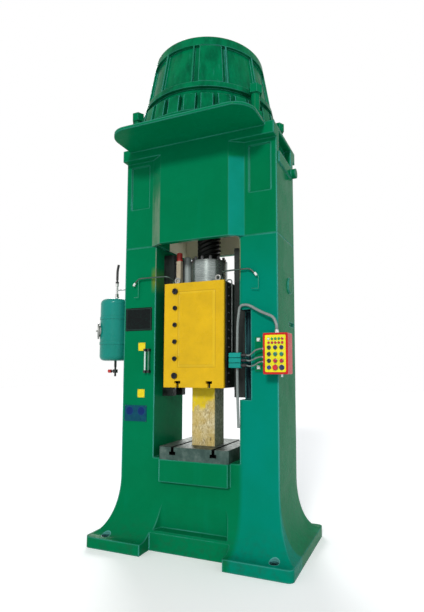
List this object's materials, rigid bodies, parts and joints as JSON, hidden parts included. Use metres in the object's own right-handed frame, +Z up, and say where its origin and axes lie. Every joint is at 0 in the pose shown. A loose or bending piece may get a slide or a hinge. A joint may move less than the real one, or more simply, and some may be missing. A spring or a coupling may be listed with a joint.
{
  "type": "electric screw press",
  "caption": "Tall two-post screw press: a direct-drive motor in a ribbed conical housing turns a screw that drives a guided ram over a slotted bolster.",
  "frame": {"origin": "centre of the base's underside, on the floor under the screw axis", "axes": "+Z up along the screw axis, -Y towards the side with the control box and ram plate, +X towards the operator's right as they face the press"},
  "size_m": [2.0686, 1.47, 4.485],
  "materials": {
    "green_paint": "glossy enamel over cast and welded steel, with dirt in the corners and a little wear",
    "cover_green": "glossy enamel",
    "ram_paint": "glossy enamel with small scuffs",
    "bare_steel": "machined, oily, slightly stained",
    "dark_steel": "blackened and greasy",
    "screw_steel": "ground and greased",
    "bronze": "turned bronze with grease",
    "silicon_steel": "laminated edges",
    "copper_winding": "varnished",
    "bolster_steel": "worn, with rust and oil",
    "timber": "weathered sawn timber with paint smears",
    "black_plate": "printed sheet, bare of text",
    "sign_plate": "sheet, bare of text",
    "sight_tube": "clear tube between black ends",
    "box_red": "glossy enamel",
    "panel_yellow": "satin sheet",
    "lamp_colours": "moulded lenses in several colours",
    "button_black": "moulded",
    "button_blue": "moulded",
    "button_green": "moulded",
    "button_red": "moulded",
    "conduit_grey": "ribbed flexible conduit",
    "cable_grey": "sheathed cable with black plugs",
    "black_plastic": "moulded grip",
    "white_metal": "bright plated fittings",
    "post_paint": "beige enamel with red rubber buffers"
  },
  "bodies": {
    "frame": {"base_frame": "green_paint", "crown": "green_paint", "tie_rods": "dark_steel", "motor_housing": "green_paint", "housing_door": "cover_green", "hold_down_studs": "cover_green", "stator_frame": "dark_steel", "stator_core": "silicon_steel", "stator_windings": "copper_winding", "screw_bearings": "bronze", "brake_unit": "dark_steel", "bolster": "bolster_steel", "timber_prop": "timber", "guide_rails": "bare_steel", "rail_bolts": "dark_steel", "nameplate": "black_plate", "info_plates": "sign_plate", "sight_gauges": "sight_tube", "air_tank": "green_paint", "tank_mount": "green_paint", "tank_hatch": "bare_steel", "tank_inlet": "white_metal", "drain_valve": "dark_steel", "box_bracket": "green_paint", "box_shell": "box_red", "box_glands": "white_metal", "box_conduit": "conduit_grey", "connector_block": "green_paint", "signal_cables": "cable_grey"},
    "screw": {"main_screw": "screw_steel", "rotor": "silicon_steel", "brake_disc": "bare_steel"},
    "ram_assembly": {"ram": "ram_paint", "ram_front_plate": "ram_paint", "plate_bolts": "dark_steel", "wear_strips": "dark_steel", "strip_bolts": "dark_steel", "ram_nut": "bronze", "nut_bolts": "dark_steel", "lifting_eyes": "bare_steel", "striker_posts": "post_paint", "trip_arms": "white_metal", "grease_line": "conduit_grey"},
    "door": {"box_door": "box_red", "button_panel": "panel_yellow", "pilot_lamps": "lamp_colours"},
    "push_button_1": {"push_button_1": "button_black"},
    "push_button_2": {"push_button_2": "button_blue"},
    "push_button_3": {"push_button_3": "button_blue"},
    "push_button_4": {"push_button_4": "button_black"},
    "push_button_5": {"push_button_5": "button_green"},
    "push_button_6": {"push_button_6": "button_green"},
    "push_button_7": {"push_button_7": "button_black"},
    "push_button_8": {"push_button_8": "button_red"},
    "push_button_9": {"push_button_9": "button_red"},
    "push_button_10": {"push_button_10": "button_blue"},
    "stop_button": {"stop_button": "button_red"},
    "selector_knob": {"selector_knob": "button_blue"},
    "valve_lever": {"valve_lever": "black_plastic"},
    "drain_knob": {"drain_knob": "button_red"}
  },
  "joints": [
    {"name": "screw_spin", "type": "hinge", "parent": "frame", "child": "screw", "pos_m": [0, 0, 0], "axis": [0, 0, 1], "range_deg": [-389.9, 0]},
    {"name": "ram_slide", "type": "slide", "parent": "frame", "child": "ram_assembly", "axis": [0, 0, 1], "range_m": [0, 0.26]},
    {"name": "box_door_hinge", "type": "hinge", "parent": "frame", "child": "door", "pos_m": [0.676, -0.397, 1.6715], "axis": [0, 0, -1], "range_deg": [0, 110]},
    {"name": "push_button_1_press", "type": "slide", "parent": "door", "child": "push_button_1", "axis": [0, 1, 0], "range_m": [0, 0.004], "stiffness_N_per_m": 400},
    {"name": "push_button_2_press", "type": "slide", "parent": "door", "child": "push_button_2", "axis": [0, 1, 0], "range_m": [0, 0.004], "stiffness_N_per_m": 400},
    {"name": "push_button_3_press", "type": "slide", "parent": "door", "child": "push_button_3", "axis": [0, 1, 0], "range_m": [0, 0.004], "stiffness_N_per_m": 400},
    {"name": "push_button_4_press", "type": "slide", "parent": "door", "child": "push_button_4", "axis": [0, 1, 0], "range_m": [0, 0.004], "stiffness_N_per_m": 400},
    {"name": "push_button_5_press", "type": "slide", "parent": "door", "child": "push_button_5", "axis": [0, 1, 0], "range_m": [0, 0.004], "stiffness_N_per_m": 400},
    {"name": "push_button_6_press", "type": "slide", "parent": "door", "child": "push_button_6", "axis": [0, 1, 0], "range_m": [0, 0.004], "stiffness_N_per_m": 400},
    {"name": "push_button_7_press", "type": "slide", "parent": "door", "child": "push_button_7", "axis": [0, 1, 0], "range_m": [0, 0.004], "stiffness_N_per_m": 400},
    {"name": "push_button_8_press", "type": "slide", "parent": "door", "child": "push_button_8", "axis": [0, 1, 0], "range_m": [0, 0.004], "stiffness_N_per_m": 400},
    {"name": "push_button_9_press", "type": "slide", "parent": "door", "child": "push_button_9", "axis": [0, 1, 0], "range_m": [0, 0.004], "stiffness_N_per_m": 400},
    {"name": "push_button_10_press", "type": "slide", "parent": "door", "child": "push_button_10", "axis": [0, 1, 0], "range_m": [0, 0.004], "stiffness_N_per_m": 400},
    {"name": "stop_button_press", "type": "slide", "parent": "door", "child": "stop_button", "axis": [0, 1, 0], "range_m": [0, 0.006], "stiffness_N_per_m": 500},
    {"name": "selector_turn", "type": "hinge", "parent": "door", "child": "selector_knob", "pos_m": [0.831, -0.417, 1.5605], "axis": [0, -1, 0], "range_deg": [-45, 45]},
    {"name": "valve_lever_turn", "type": "hinge", "parent": "frame", "child": "valve_lever", "pos_m": [-0.945, -0.149, 2.402], "axis": [0, 0, 1], "range_deg": [0, 90]},
    {"name": "drain_knob_turn", "type": "hinge", "parent": "frame", "child": "drain_knob", "pos_m": [-0.99, -0.149, 1.53], "axis": [-1, 0, 0], "range_deg": [0, 360]}
  ],
  "couplings": [
    {"joint": "ram_slide", "follows": "screw_spin", "m_per_rad": -0.038197}
  ]
}
